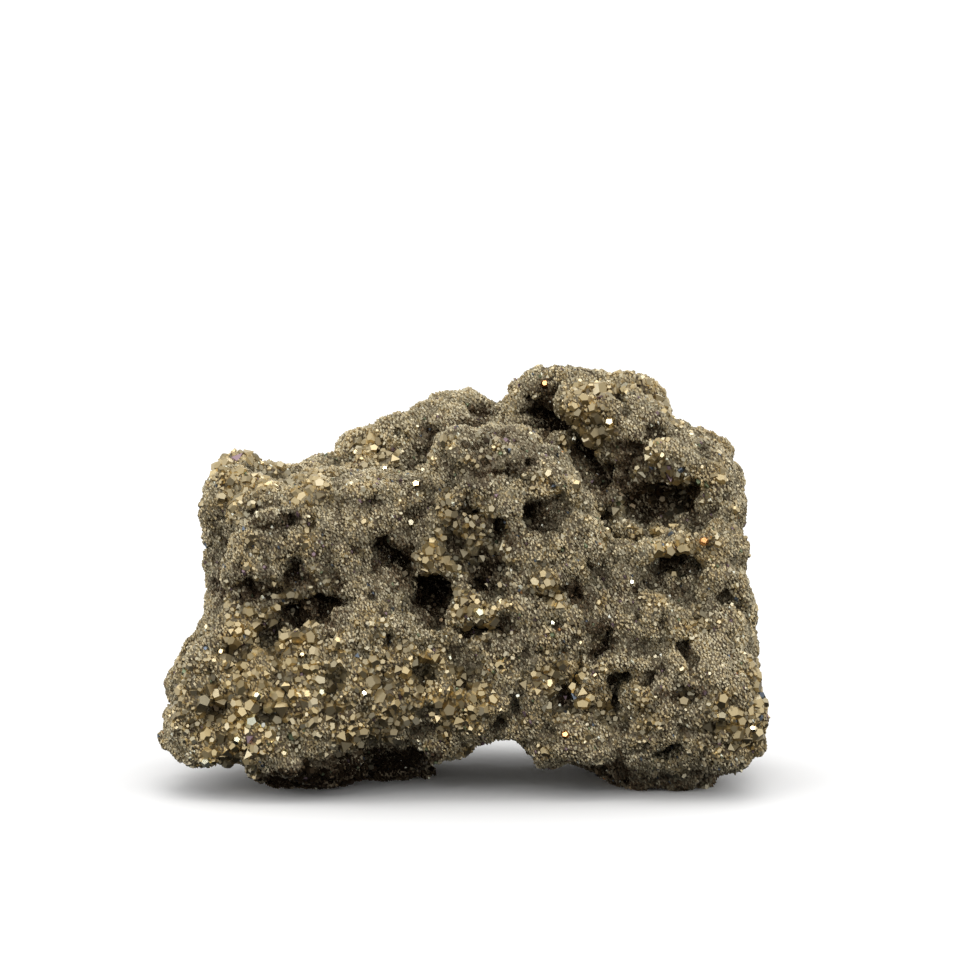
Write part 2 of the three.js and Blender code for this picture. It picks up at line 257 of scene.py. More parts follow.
# %% Named hollows and knobs of the front
# share of the box across, share upwards, half width mm, half height mm, turn in degrees, depth mm
FRONT_HOLLOWS = {
    "main_vug": (0.449, 0.478, 1.7, 2.2, 10, 6.0),
    "heart_bowl": (0.515, 0.600, 4.2, 4.6, 0, 1.6),
    "valley_bowl": (0.800, 0.730, 6.8, 3.6, -20, 2.6),
    "valley_neck": (0.680, 0.830, 4.4, 1.6, -42, 2.4),
    "vug_shaft": (0.405, 0.552, 2.4, 1.4, -40, 3.8),
    "vug_gully": (0.366, 0.591, 1.7, 1.2, -20, 3.5),
    "left_vug_top": (0.235, 0.551, 1.0, 1.7, 10, 3.0),
    "left_vug": (0.223, 0.438, 1.7, 1.3, 30, 4.5),
    "left_vug_right": (0.284, 0.477, 2.2, 0.9, 0, 2.8),
    "left_vug_foot": (0.191, 0.387, 1.3, 1.0, 0, 3.0),
    "toe_hollow": (0.126, 0.351, 2.2, 1.1, -15, 3.0),
    "coarse_pit": (0.305, 0.311, 0.8, 0.9, 0, 2.6),
    "belly_pit": (0.443, 0.302, 1.1, 1.8, 0, 3.2),
    "belly_crease": (0.454, 0.213, 1.5, 0.7, 0, 1.8),
    "toe_pit": (0.108, 0.213, 1.2, 0.7, 0, 1.8),
    "toe_pit_low": (0.104, 0.161, 1.3, 0.6, 0, 1.6),
    "heart_floor": (0.541, 0.520, 2.2, 1.0, 0, 4.0),
    "heart_right": (0.557, 0.640, 0.8, 1.5, 0, 3.5),
    "heart_top": (0.518, 0.686, 1.8, 0.9, 0, 3.5),
    "heart_crease": (0.534, 0.402, 3.1, 0.9, 0, 3.6),
    "heart_corner": (0.587, 0.435, 1.3, 1.0, 0, 2.6),
    "ridge_slit": (0.655, 0.725, 1.3, 0.4, 0, 2.0),
    "ridge_vug": (0.616, 0.669, 0.6, 1.0, 20, 2.2),
    "ridge_crease": (0.572, 0.789, 3.1, 0.4, -8, 2.2),
    "valley_top": (0.638, 0.883, 2.7, 1.0, -40, 4.6),
    "valley_mid": (0.703, 0.796, 3.2, 1.2, -35, 2.2),
    "valley_deep": (0.774, 0.740, 3.6, 2.2, -15, 3.8),
    "valley_slot": (0.829, 0.680, 5.0, 1.4, 0, 4.2),
    "slot_end": (0.750, 0.672, 1.1, 1.7, 0, 4.0),
    "right_vug": (0.852, 0.542, 3.1, 1.7, 0, 6.0),
    "side_pit": (0.944, 0.474, 0.7, 1.0, 0, 3.0),
    "edge_pit": (0.918, 0.688, 0.7, 0.9, 0, 2.6),
    "brow_pit": (0.902, 0.848, 0.9, 0.7, -30, 2.2),
    "summit_crease": (0.820, 0.858, 0.7, 1.7, 20, 2.2),
    "summit_pit": (0.732, 0.959, 1.0, 0.6, 0, 2.0),
    "cliff_hole": (0.861, 0.368, 0.8, 1.1, 10, 4.0),
    "cliff_speck": (0.891, 0.390, 0.7, 0.4, 0, 2.0),
    "apron_gap": (0.686, 0.315, 0.8, 1.3, 20, 3.4),
    "apron_hole": (0.755, 0.274, 1.9, 0.9, 15, 4.4),
    "apron_slot": (0.748, 0.222, 0.8, 1.5, 0, 4.0),
    "apron_hole_right": (0.807, 0.281, 0.9, 0.9, 0, 3.6),
    "apron_ledge": (0.866, 0.261, 1.8, 0.7, 0, 2.0),
    "apron_hollow": (0.658, 0.248, 1.8, 1.8, 0, 2.8),
    "seam": (0.726, 0.383, 0.8, 2.2, -10, 2.6),
    "seam_top": (0.740, 0.565, 0.5, 3.0, 0, 2.4),
    "centre_pit": (0.640, 0.499, 1.5, 0.9, 0, 3.0),
    "centre_pit_right": (0.681, 0.499, 1.0, 1.2, 0, 2.8),
    "centre_low": (0.693, 0.447, 0.9, 1.0, 0, 2.2),
    "foot_vug": (0.835, 0.098, 1.9, 0.8, 10, 4.0),
    "arch_pit": (0.559, 0.186, 1.4, 0.9, 0, 2.8),
    "arch_pit_right": (0.589, 0.209, 0.8, 0.8, 0, 2.2),
    "knob_under": (0.189, 0.676, 1.8, 0.8, 0, 1.8),
    "knob_gap": (0.253, 0.679, 0.6, 0.8, 0, 2.2),
    "wall_band": (0.164, 0.492, 4.4, 1.9, 8, 1.8),
}
# the same, with the height they stand out
FRONT_KNOBS = {
    "corner_knob": (0.127, 0.757, 2.5, 1.9, 0, 1.2),
    "side_knob": (0.098, 0.676, 1.4, 1.7, 0, 1.0),
    "crest_knob": (0.188, 0.771, 1.6, 1.0, 0, 0.9),
    "crest_end": (0.251, 0.744, 1.4, 1.2, 0, 0.8),
    "ridge_head": (0.486, 0.864, 3.1, 1.9, 10, 1.2),
    "ridge_brow": (0.595, 0.857, 2.9, 2.0, -10, 1.2),
    "ridge_cheek": (0.668, 0.785, 2.7, 2.0, -40, 1.1),
    "ridge_belly": (0.607, 0.578, 4.0, 2.6, -20, 1.0),
    "ridge_middle": (0.638, 0.648, 3.0, 2.4, 0, 1.3),
    "block": (0.854, 0.771, 4.5, 2.7, 0, 1.0),
    "pale_knob": (0.889, 0.695, 1.2, 1.1, 0, 0.9),
    "ledge_left": (0.783, 0.597, 2.0, 1.7, 0, 1.2),
    "ledge": (0.864, 0.608, 3.3, 1.0, -5, 1.2),
    "apron_knob": (0.842, 0.331, 1.5, 1.4, 0, 1.0),
    "apron_bead": (0.721, 0.314, 1.3, 1.2, 0, 0.9),
    "apron_bead_mid": (0.779, 0.317, 1.7, 0.8, 0, 0.8),
    "apron_bead_low": (0.782, 0.260, 1.0, 0.9, 0, 0.7),
    "apron_swell": (0.915, 0.308, 2.9, 2.2, 0, 0.9),
    "cliff_swell": (0.802, 0.442, 3.8, 2.2, 0, 0.8),
}
HOLLOW_RIM = 1.3
KNOB_RIM = 1.2
# how wide the meander is and how far it reaches, in mm
FRAYS = ((4.5, 0.9), (1.6, 0.8))
FRONT_BIAS = 0.35
FRONT_SLOPE = 1.3


def front_relief(points, normals, forms, rim, steepness):
    """How deep each point lies in the named ellipses of the front, in metres."""
    relief = np.zeros(len(points))
    for size, reach in FRAYS:
        points = meandering(points, size * MM, reach * MM)
    for x, z, half_width, half_height, turn, deep in forms.values():
        across = points[:, 0] - place((x, 0, 0))[0]
        up = points[:, 2] - place((0, 0, z))[2]
        cosine, sine = math.cos(math.radians(turn)), math.sin(math.radians(turn))
        along = (across * cosine + up * sine) / (rim * half_width * MM)
        beside = (up * cosine - across * sine) / (rim * half_height * MM)
        inside = np.clip(1 - along ** 2 - beside ** 2, 0, 1)
        relief = np.hypot(relief, deep * MM * inside ** steepness)
    faces_front = np.clip(FRONT_BIAS - FRONT_SLOPE * normals[:, 1], 0, 1)
    return relief * faces_front


# %% [markdown]
# ## Relief of the other sides
# The back, the sides and the top get the same kind of relief without names: pockets
# scattered at random, each stretched its own way, winding seams between the crusts,
# and broad round lumps. Then the net is remeshed once more, because the steep walls
# of the pockets stretched its squares.

# %% Press the relief into the net
POCKET_COUNT = 110
POCKET_RADII = (0.9, 2.8)
POCKET_STRETCH = (0.6, 1.6)
POCKET_DEPTH = 1.4
REAR_BIAS = 0.2
SEAM_SPACING = 8.0 * MM
SEAM_WIDTH = 0.12
SEAM_DEPTH = 1.1 * MM
LUMP_SIZE = 6.0 * MM
LUMP_HEIGHT = 2.2 * MM
LUMP_LEVEL = 0.8
LUMP_MEANDER = (5.0 * MM, 1.5 * MM)

places, normals = corners_and_normals(body.data)
hollow = front_relief(places, normals, FRONT_HOLLOWS, HOLLOW_RIM, 1.0)
knob = front_relief(places, normals, FRONT_KNOBS, KNOB_RIM, 1.0)
elsewhere = np.clip(REAR_BIAS + FRONT_SLOPE * normals[:, 1], 0, 1)
for centre in rng.choice(len(places), POCKET_COUNT, replace=False):
    radius = MM * (POCKET_RADII[0] + (POCKET_RADII[1] - POCKET_RADII[0]) * rng.random() ** 2)
    offset = (places - places[centre]) * rng.uniform(*POCKET_STRETCH, 3) / radius
    inside = np.clip(1 - (offset ** 2).sum(axis=1), 0, 1)
    pocket = POCKET_DEPTH * radius * np.sqrt(inside) * elsewhere[centre]
    hollow = np.maximum(hollow, pocket)
seam = np.clip(1 - np.abs(cloud(places, SEAM_SPACING, shift=4.4)) / SEAM_WIDTH, 0, 1)
lump_ground = meandering(places, *LUMP_MEANDER)
lump = LUMP_HEIGHT * (nodules(lump_ground, LUMP_SIZE, shift=1.7) - LUMP_LEVEL)
inward = np.array([0, 0.6, 0]) * (normals[:, 1] < 0)[:, None] - normals
inward /= np.linalg.norm(inward, axis=1, keepdims=True)
push = hollow + SEAM_DEPTH * seam * (0.7 + 0.3 * elsewhere)
set_corners(body.data, places + inward * push[:, None] + normals * (knob + lump)[:, None])
even_net(body, smoothing=1)
print("deepest hollow", round(hollow.max() / MM, 2), "mm")
print("the net now has", len(body.data.polygons), "squares")

# %% [markdown]
# ## Small knobs and pits
# The last step of the relief is the nubbly skin: knobs of one to three millimetres,
# the smaller ones riding on the larger, and pits in between.

# %% Small relief
PIT_SPACING = 2.7 * MM
PIT_RADII = (0.10, 0.30)
PIT_DEPTH = 1.2 * MM
KNOB_SIZES = ((3.4 * MM, 1.25 * MM), (2.0 * MM, 1.15 * MM), (1.2 * MM, 0.65 * MM))
KNOB_MEANDER = (1.3, 0.35)
KNOB_LEVEL = 0.75

net_places, net_normals = corners_and_normals(body.data)
pit_distance, pit_label = nearest_seed(net_places, PIT_SPACING, shift=11.3)
pit_radius = PIT_RADII[0] + (PIT_RADII[1] - PIT_RADII[0]) * pit_label ** 2
pit = PIT_DEPTH * np.clip(1 - (pit_distance / pit_radius) ** 2, 0, 1) ** 0.6
rise = np.zeros(len(net_places))
for step, (size, height) in enumerate(KNOB_SIZES):
    knob_ground = meandering(net_places, KNOB_MEANDER[0] * size, KNOB_MEANDER[1] * size, shift=2.9)
    rise += height * (nodules(knob_ground, size, shift=3.7 * step) - KNOB_LEVEL)
set_corners(body.data, net_places + net_normals * (rise - pit)[:, None])
grown_places, grown_normals = corners_and_normals(body.data)
print("knobs in", len(KNOB_SIZES), "sizes, and pits up to", round(pit.max() / MM, 1), "mm deep")

# %% [markdown]
# ## Crowns and depths
# Crowns are painted brighter and creases darker, partly as rubbed wear and partly as
# painted light and shade, and crystals deep in a pocket are darker. So each corner of
# the net is measured twice: how far it stands above a copy of the net that has been
# averaged many times over, and how far it lies below the frame's surface.

# %% Measure crowns and depths
LEVEL_ROUNDS = 40
joined = np.empty(len(body.data.edges) * 2, np.int32)
body.data.edges.foreach_get("vertices", joined)
first, second = joined.reshape(-1, 2).T
neighbours = np.bincount(joined, minlength=len(grown_places))
level = grown_places.copy()
for _ in range(LEVEL_ROUNDS):
    for axis in range(3):
        total = np.bincount(first, level[second, axis], len(level))
        total += np.bincount(second, level[first, axis], len(level))
        level[:, axis] = total / neighbours
crown = ((grown_places - level) * grown_normals).sum(axis=1)
highest = float(np.percentile(crown, 99))
print("crowns stand up to", round(highest / MM, 2), "mm above their surroundings")

frame_surface = BVHTree.FromObject(mass_node, bpy.context.evaluated_depsgraph_get())
depth = np.array([frame_surface.find_nearest(spot)[3] for spot in grown_places])
print("the net mostly lies", round(float(np.median(depth)) / MM, 2), "mm below the frame's surface")

# %% [markdown]
# ## Where the crystals are coarse
# Grain size follows how much room and time each spot had. Some nests grew crystals a
# millimetre and more across, and between them the crust stayed as fine as sugar. The
# nests on the front are named places, and a slow cloud adds more all round, so the
# back and the sides have the same mixture.

# %% Nests of coarse crystals
# shares of the box, radius in mm
NESTS = {
    "toe": ((0.13, 0.08, 0.22), 8.5),
    "toe_right": ((0.26, 0.06, 0.25), 9.0),
    "belly_left": ((0.39, 0.05, 0.24), 8.0),
    "belly_right": ((0.50, 0.05, 0.25), 5.5),
    "heart": ((0.505, 0.08, 0.60), 6.5),
    "heart_lower": ((0.52, 0.06, 0.44), 3.2),
    "left_vug_rim": ((0.22, 0.08, 0.44), 5.0),
    "corner_knob": ((0.12, 0.20, 0.74), 6.0),
    "crest": ((0.26, 0.12, 0.76), 3.5),
    "apron_corner": ((0.93, 0.12, 0.22), 7.0),
    "apron_left": ((0.66, 0.06, 0.26), 4.5),
    "valley": ((0.80, 0.22, 0.74), 7.0),
    "summit": ((0.70, 0.40, 0.90), 5.5),
    "right_vug_rim": ((0.84, 0.10, 0.56), 4.0),
    "centre": ((0.64, 0.07, 0.50), 3.2),
}
NEST_CLOUD = 9.0 * MM
FRAY_CLOUD = 2.2 * MM
FRAY = 0.45
EDGE_STEEPNESS = 2.0
SUGAR_COARSENESS = 0.05


def coarseness(points):
    """0 where the crust is sugary, 1 in the middle of a nest of coarse crystals."""
    nearness = np.full(len(points), -1.0)
    for shares, radius in NESTS.values():
        away = np.linalg.norm(points - place(shares), axis=1) / (radius * MM)
        nearness = np.maximum(nearness, 1 - away)
    behind = np.clip((points[:, 1] - place((0, 0.25, 0))[1]) / (0.2 * SPAN[1]), 0, 1)
    wild = 1.2 * cloud(points, NEST_CLOUD, shift=5.1) - 0.25
    nearness = np.maximum(nearness, wild * behind)
    frayed = nearness + FRAY * cloud(points, FRAY_CLOUD, shift=8.8)
    return np.clip(EDGE_STEEPNESS * frayed + SUGAR_COARSENESS, 0, 1)


coarse_at = coarseness(grown_places)
print("share of the surface with coarse crystals", round(float((coarse_at > 0.5).mean()), 2))

# %% [markdown]
# ## Where the lump is stained, pale or painted with shade
# Brown tarnish sits where water stood: in the pockets, the valley and the creases. A few
# crusts are paler, and the underside of the left foot is painted almost black as painted
# shade. All are named ellipses again, and a slow cloud adds stains to the back.

# %% Stains, pale crusts and painted shade on the undersides
# share across, share upwards, half width mm, half height mm, turn in degrees, strength
STAINS = {
    "left_wall": (0.165, 0.500, 5.2, 2.6, 8, 0.8),
    "left_vugs": (0.240, 0.470, 5.4, 3.6, 10, 1.0),
    "vug_shaft": (0.400, 0.560, 3.4, 2.6, -40, 0.9),
    "heart": (0.520, 0.590, 4.8, 5.4, 0, 1.2),
    "heart_crease": (0.540, 0.405, 4.2, 1.8, 0, 0.8),
    "valley": (0.790, 0.740, 7.4, 4.0, -20, 0.7),
    "valley_neck": (0.670, 0.840, 4.6, 2.0, -42, 0.8),
    "summit_left": (0.640, 0.930, 3.0, 2.6, 0, 0.7),
    "apron_hollow": (0.662, 0.255, 2.6, 2.4, 0, 0.9),
    "apron_ledge": (0.850, 0.265, 3.0, 1.2, 0, 0.7),
    "ridge_spot": (0.545, 0.805, 3.4, 1.5, -8, 0.7),
    "main_vug": (0.449, 0.478, 2.2, 2.5, 0, 1.4),
    "ridge_top": (0.540, 0.830, 7.0, 3.0, 0, 0.45),
    "knob_under": (0.190, 0.680, 2.8, 1.4, 0, 0.7),
    "centre": (0.662, 0.500, 3.4, 1.5, -10, 0.9),
    "seam": (0.722, 0.405, 1.5, 3.0, -10, 0.9),
    "ridge_vug": (0.622, 0.672, 1.4, 1.8, 20, 0.8),
    "belly": (0.330, 0.250, 9.0, 4.6, 0, 0.2),
}
PALES = {
    "apron_right": (0.900, 0.330, 5.5, 4.0, 0, 1.2),
    "apron_top": (0.720, 0.305, 5.0, 2.4, 0, 1.0),
    "toe_skin": (0.060, 0.110, 4.0, 3.2, 0, 0.7),
    "vug_bank": (0.330, 0.520, 3.0, 3.0, 0, 0.5),
    "middle": (0.560, 0.350, 4.0, 3.0, 0, 0.5),
    "lobe": (0.360, 0.820, 6.0, 3.0, 20, 0.8),
}
# painted shade: the underside of the left foot, the foot's end and the arch's side are darkened as
# if in shadow
SHADES = {
    "left_foot": (0.310, -0.010, 12.0, 5.2, 6, 1.4),
    "foot_end": (0.430, 0.040, 3.8, 3.2, 0, 1.2),
    "arch_side": (0.740, 0.030, 5.0, 1.6, -10, 0.6),
}
# how far each kind reaches past its ellipse, and how soft its edge is
STAIN_RIM, STAIN_SOFTNESS = 1.15, 0.6
PALE_RIM, PALE_SOFTNESS = 1.0, 0.8
SHADE_RIM, SHADE_SOFTNESS = 1.1, 0.35
STAIN_CLOUD = 7.0 * MM


def strength(forms, rim, softness):
    """How strongly each corner of the net belongs to the named ellipses."""
    return front_relief(grown_places, grown_normals, forms, rim, softness) / MM


stain = strength(STAINS, STAIN_RIM, STAIN_SOFTNESS)
rear_stain = np.clip(1.6 * cloud(grown_places, STAIN_CLOUD, shift=7.7) - 0.5, 0, 1)
stain += rear_stain * (grown_normals[:, 1] > 0)
pale = strength(PALES, PALE_RIM, PALE_SOFTNESS)
shade = np.clip(strength(SHADES, SHADE_RIM, SHADE_SOFTNESS), 0, 1)
print(len(STAINS), "stains,", len(PALES), "pale crusts,", len(SHADES), "dark undersides")

# %% [markdown]
# ## Room for each crystal
# Crystals that grow side by side share the ground. To get that, sites are tried in
# turn, largest crystal first, and a site is kept only if no crystal already stands
# too near. A grid of small boxes makes the search quick, because only the boxes
# around a site can hold a neighbour. The gaps between large crystals then fill up
# with small ones, as they do in a real druse. Only a few sites grow beyond sugar size,
# and of those only a few come near the full size, so every size in between is there.

# %% Choose the crystal sites
SITES_PER_SQUARE = 4
FINE_SIZE = 0.26 * MM
REAR_SIZE = 0.34 * MM
COARSE_SIZE = 1.40 * MM
SIZE_SPREAD = (0.8, 0.5)
GROWERS = (0.04, 0.50)
GROWER_FLOOR = 0.30
RARITY = 2.6
CLOSENESS = 0.74


def candidate_sites():
    """Random points on the net's squares, with their normals and their nearest corners."""
    squares = np.empty(len(body.data.loops), np.int32)
    body.data.loops.foreach_get("vertex_index", squares)
    squares = np.repeat(squares.reshape(-1, 4), SITES_PER_SQUARE, axis=0)
    across, along = rng.random((2, len(squares)))
    back, forth = 1 - across, 1 - along
    shares = np.stack([back * forth, across * forth, across * along, back * along], axis=1)
    places = np.einsum("nc,nck->nk", shares, grown_places[squares])
    normals = np.einsum("nc,nck->nk", shares, grown_normals[squares])
    normals /= np.linalg.norm(normals, axis=1, keepdims=True)
    owner = squares[np.arange(len(squares)), shares.argmax(axis=1)]
    return places, normals, owner


def spaced_out(places, sizes):
    """Indices of the sites kept, largest first, none nearer than its share of both sizes."""
    box_side = sizes.max() * CLOSENESS
    boxes = {}
    kept = []
    cells = np.floor(places / box_side).astype(int)
    order = np.argsort(-sizes, kind="stable")
    around = [tuple(np.array(step) - 1) for step in np.ndindex(3, 3, 3)]
    for index in order:
        x, y, z = places[index]
        size = sizes[index]
        home = tuple(cells[index])
        clear = True
        for dx, dy, dz in around:
            for other in boxes.get((home[0] + dx, home[1] + dy, home[2] + dz), ()):
                reach = 0.5 * CLOSENESS * (size + other[3])
                gap = (x - other[0]) ** 2 + (y - other[1]) ** 2 + (z - other[2]) ** 2
                if gap < reach * reach:
                    clear = False
                    break
            if not clear:
                break
        if clear:
            boxes.setdefault(home, []).append((x, y, z, size))
            kept.append(index)
    return np.array(kept)


site_places, site_normals, site_owner = candidate_sites()
site_coarse = coarse_at[site_owner]
luck = rng.random(len(site_places))
spread = SIZE_SPREAD[0] + SIZE_SPREAD[1] * rng.random(len(site_places))
behind = np.clip(site_places[:, 1] / (0.25 * SPAN[1]), 0, 1)
site_sizes = FINE_SIZE + (REAR_SIZE - FINE_SIZE) * behind
chance = GROWERS[0] + GROWERS[1] * site_coarse
growth = np.where(luck < chance, luck / chance, 0) ** RARITY
site_sizes += (COARSE_SIZE - site_sizes) * np.maximum(site_coarse, GROWER_FLOOR) * growth
site_sizes *= spread
kept = spaced_out(site_places, site_sizes)
print("crystals kept", len(kept), "of", len(site_places))

# %% [markdown]
# ## The crystals themselves
# Pyrite grows as cubes, as octahedra, and as the twelve-sided shape with five-cornered
# faces that is named after it. Each of the three is worked out from its face
# directions: a face is the ring of corners that lie furthest along its direction.
# A whole field of crystals is then one mesh, made of turned and stretched copies,
# which Blender draws far quicker than thousands of separate objects.

# %% Three crystal shapes
PENTAGON_STEP = 0.5


def signed(*triples):
    """Every sign and every cyclic order of the given coordinate triples."""
    found = set()
    for triple in triples:
        for signs in np.ndindex(2, 2, 2):
            a, b, c = (value * (1 - 2 * sign) + 0.0 for value, sign in zip(triple, signs))
            found |= {(a, b, c), (b, c, a), (c, a, b)}
    return np.array(sorted(found), float)


def crystal_shape(corners, directions):
    """A shape that fits a ball one unit across: corners, faces as rings of corners, one facing."""
    corners = corners / (2 * np.linalg.norm(corners, axis=1).max())
    faces = []
    for direction in directions:
        reach = corners @ direction
        ring = np.flatnonzero(reach > reach.max() - 1e-6)
        spokes = corners[ring] - corners[ring].mean(axis=0)
        across = spokes[0]
        along = np.cross(direction, across)
        along *= np.linalg.norm(across) / np.linalg.norm(along)
        angles = np.arctan2(spokes @ along, spokes @ across)
        faces.append(ring[np.argsort(angles)])
    return corners, np.array(faces), directions[0]


SHAPES = {
    "cube": crystal_shape(signed((1, 1, 1)), signed((1, 0, 0))),
    "octahedron": crystal_shape(signed((1, 0, 0)), signed((1, 1, 1))),
    "pyritohedron": crystal_shape(
        signed((1, 1, 1), (0, 1 + PENTAGON_STEP, 1 - PENTAGON_STEP ** 2)),
        signed((PENTAGON_STEP, 1, 0)),
    ),
}
for shape_name, (corners, faces, _) in SHAPES.items():
    print(shape_name, "has", len(corners), "corners and", len(faces), "faces")

# %% [markdown]
# ## Colour that belongs to a crystal
# Fresh pyrite is pale brass. A thin film of tarnish turns it grey, olive or brown, and
# here and there the film is thick enough to shine violet, blue or green. The film
# differs from crystal to crystal, because each face took it in its own way, so each
# crystal carries two numbers: a place on a row of colours, and a brightness. They are
# painted on its corners as a colour attribute, and the material looks the colour up.
# Its UV map holds the same two numbers, so a baked picture of it is a small chart.
# Crystals are made a little larger than their room, so that neighbours grow together,
# and the sugary ones are drawn out along one line, the way the crust grew.

# %% Build a mesh of many crystals
CHART_MARGIN = 0.02
CHART_DOT = 0.0012
FILM_START = 0.86
BRASS_END = FILM_START - 0.02
FACE_HUE_SCATTER = 0.03
FACE_VALUE_SCATTER = 0.08
GROWTH_LINE = np.array([0.42, 0.0, -0.91])
FULLNESS = 1.15


def basis(directions, helpers):
    """Square frames, one for each direction, whose third column is that direction."""
    across = np.cross(helpers, directions)
    across /= np.linalg.norm(across, axis=1, keepdims=True)
    along = np.cross(directions, across)
    return np.stack([across, along, directions], axis=2)


def standing(normals, face_direction, tilt):
    """Turns that stand a face of the shape towards each normal, tilted and spun at random."""
    leaning = normals + tilt * rng.normal(size=normals.shape)
    leaning /= np.linalg.norm(leaning, axis=1, keepdims=True)
    face_direction = face_direction / np.linalg.norm(face_direction)
    own = basis(face_direction[None], np.array([[0.31, 0.52, 0.79]]))
    return basis(leaning, rng.normal(size=normals.shape)) @ own.transpose(0, 2, 1)


def mesh_from_arrays(name, corners, faces):
    """A new mesh object from an array of corners and an array of equal-sided faces."""
    mesh = bpy.data.meshes.new(name)
    sides = faces.shape[1]
    mesh.vertices.add(len(corners))
    mesh.vertices.foreach_set("co", corners.astype(np.float32).ravel())
    mesh.loops.add(faces.size)
    mesh.loops.foreach_set("vertex_index", faces.astype(np.int32).ravel())
    mesh.polygons.add(len(faces))
    mesh.polygons.foreach_set("loop_start", np.arange(0, faces.size, sides, dtype=np.int32))
    mesh.update(calc_edges=True)
    mesh.shade_flat()
    piece = bpy.data.objects.new(name, mesh)
    put_in_scene(piece)
    return piece


def paint_finish(mesh, hue, value):
    """Stores two finish numbers for each face, as a colour and as a place on the chart."""
    sides = len(mesh.loops) // len(mesh.polygons)
    finish = mesh.color_attributes.new("finish", "FLOAT_COLOR", "CORNER")
    colours = np.zeros((len(hue), 4), np.float32)
    colours[:, 0] = hue
    colours[:, 1] = value
    colours[:, 3] = 1
    finish.data.foreach_set("color", np.repeat(colours, sides, axis=0).ravel())

    chart = mesh.uv_layers.new(name="OFBake")
    centre = CHART_MARGIN + (1 - 2 * CHART_MARGIN) * np.stack([hue, value], axis=1)
    around = 2 * np.pi * np.arange(sides) / sides
    dot = CHART_DOT * np.stack([np.cos(around), np.sin(around)], axis=1)
    chart.data.foreach_set("uv", (centre[:, None] + dot[None]).astype(np.float32).ravel())


def crystal_field(name, shape, sites, normals, sizes, hue, value, tilt, lineation, uneven):
    """One mesh of turned copies of a crystal shape, stretched by up to the share `uneven`."""
    unit, faces, facing = SHAPES[shape]
    count = len(sites)
    stretch = FULLNESS * sizes[:, None] * rng.uniform(1 - uneven, 1 + uneven, (count, 3))
    turns = standing(normals, facing, tilt)
    bodies = np.einsum("nij,nkj->nki", turns, unit[None] * stretch[:, None])
    bodies += lineation * (bodies @ GROWTH_LINE)[..., None] * GROWTH_LINE
    bodies += sites[:, None]
    bodies[..., 2] = np.maximum(bodies[..., 2], LOW[2])
    offsets = np.arange(count)[:, None, None] * len(unit)
    rings = (faces[None] + offsets).reshape(-1, faces.shape[1])
    piece = mesh_from_arrays(name, bodies.reshape(-1, 3), rings)
    hue = np.repeat(hue, len(faces))
    value = np.repeat(value, len(faces))
    uneven_hue = np.clip(hue + FACE_HUE_SCATTER * rng.normal(size=len(rings)), 0, BRASS_END)
    uneven_value = np.clip(value + FACE_VALUE_SCATTER * rng.normal(size=len(rings)), 0, 1)
    paint_finish(piece.data, np.where(hue > FILM_START, hue, uneven_hue), uneven_value)
    return piece


# %% [markdown]
# ## What colours each crystal
# Two numbers drift with several causes, and a table says how far each cause moves them.
# Coarse crystals are yellower. Crowns are painted brighter and creases darker, partly as
# rubbed wear and partly as painted light and shade, and what is sunk in a pocket keeps
# its brown film. Stains darken the small crystals more than the large ones, whose faces
# shed them. The foot and the undersides get painted shade. Pale crusts are brighter.

# %% Causes and amounts
LARGE_SIZE = 0.50 * MM
HUE_MIDDLE, HUE_SCATTER = 0.38, 0.08
VALUE_MIDDLE, VALUE_SCATTER = 0.60, 0.12
VALUE_LOWEST = 0.02
# what each cause adds to the hue and to the value
CAUSES = {
    "coarse": (0.24, -0.05),
    # painted light on crowns and painted shade in creases, partly rubbed wear
    "crown_wear_and_painted_shade": (0.10, 0.25),
    "sunk": (-0.22, -0.18),
    "brown": (-0.36, -0.32),
    # painted shade on the undersides and the foot
    "painted_shade": (-0.26, -0.40),
    "pale": (0.00, 0.22),
}
# size, shift and weight of the clouds over the hue and over the value
HUE_CLOUDS = ((6.0, 2.2, 0.08),)
VALUE_CLOUDS = ((5.0, 9.1, 0.08), (2.2, 1.3, 0.18), (1.1, 6.6, 0.12))

places = site_places[kept]
normals = site_normals[kept]
sizes = site_sizes[kept]
owners = site_owner[kept]
count = len(kept)
large = sizes > LARGE_SIZE
height_mm = places[:, 2] / MM
# painted shade: crystals that face down near the ground, and all crystals in the lowest
# millimetres, are darkened as if in shadow
painted_underside_shade = np.clip(-1.6 * normals[:, 2], 0, 1) * np.clip(1.3 - height_mm / 4, 0, 1)
foot = np.clip(1.2 - height_mm / 2.4, 0, 1)
amounts = {
    "coarse": site_coarse[kept],
    # painted light on crowns and painted shade in creases, partly rubbed wear
    "crown_wear_and_painted_shade": np.clip(crown[owners] / (0.45 * MM), -1, 1),
    "sunk": np.clip((depth[owners] - 1.6 * MM) / (3.4 * MM), 0, 1),
    "brown": stain[owners] * np.where(large, 0.3, 1.0),
    # painted shade of the undersides, the foot and the shaded ellipses
    "painted_shade": np.maximum(np.maximum(painted_underside_shade, foot), 2.0 * shade[owners]),
    "pale": pale[owners],
}
hue = HUE_MIDDLE + HUE_SCATTER * rng.normal(size=count)
value = VALUE_MIDDLE + VALUE_SCATTER * rng.normal(size=count)
for cause, (hue_step, value_step) in CAUSES.items():
    hue += hue_step * amounts[cause]
    value += value_step * amounts[cause]
for size, shift, weight in HUE_CLOUDS:
    hue += weight * cloud(places, size * MM, shift)
for size, shift, weight in VALUE_CLOUDS:
    value += weight * cloud(places, size * MM, shift)
hue = np.clip(hue, 0, BRASS_END)
value = np.clip(value, VALUE_LOWEST, 1)
print("mean hue", round(float(hue.mean()), 2), "mean value", round(float(value.mean()), 2))

